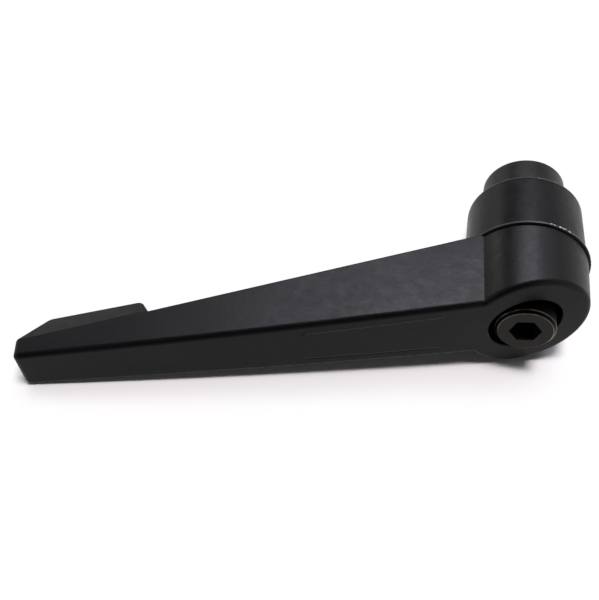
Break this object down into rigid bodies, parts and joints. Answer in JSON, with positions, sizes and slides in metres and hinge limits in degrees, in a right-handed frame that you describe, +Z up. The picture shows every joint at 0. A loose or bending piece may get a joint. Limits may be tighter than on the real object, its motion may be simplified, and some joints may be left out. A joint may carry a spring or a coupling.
{
  "type": "adjustable clamping lever",
  "caption": "Adjustable clamping lever: an angled flat-sided handle on a tapered hub, lifted against a spring to reset its angle on a serrated threaded insert.",
  "frame": {"origin": "centre of the insert's clamping face, on the hub's axis", "axes": "The lever lies on its side as it comes to rest. +Z is up, +Y is along the hub's axis out of the clamping face, and the arm points towards -X, dropping a few degrees."},
  "size_m": [0.1189, 0.0768, 0.0288],
  "materials": {
    "powder_coated_zinc": "die-cast zinc with a satin black powder coat",
    "black_oxide_steel": "turned steel with a black oxide finish",
    "black_oxide_screw_steel": "heat-treated screw steel with a black oxide finish",
    "spring_steel": "drawn spring wire with ground ends"
  },
  "bodies": {
    "core": {"threaded_insert": "black_oxide_steel", "retaining_screw": "black_oxide_screw_steel"},
    "spring": {"compression_spring": "spring_steel"},
    "handle": {"lever_handle": "powder_coated_zinc"}
  },
  "joints": [
    {"name": "handle_turn", "type": "hinge", "parent": "core", "child": "spring", "pos_m": [0, -0.03, 0], "axis": [0, -1, 0], "continuous": true},
    {"name": "handle_lift", "type": "slide", "parent": "spring", "child": "handle", "axis": [0, -1, 0], "range_m": [0, 0.0046], "stiffness_N_per_m": 3000, "springref_m": -0.004, "deforming": ["compression_spring"]}
  ]
}
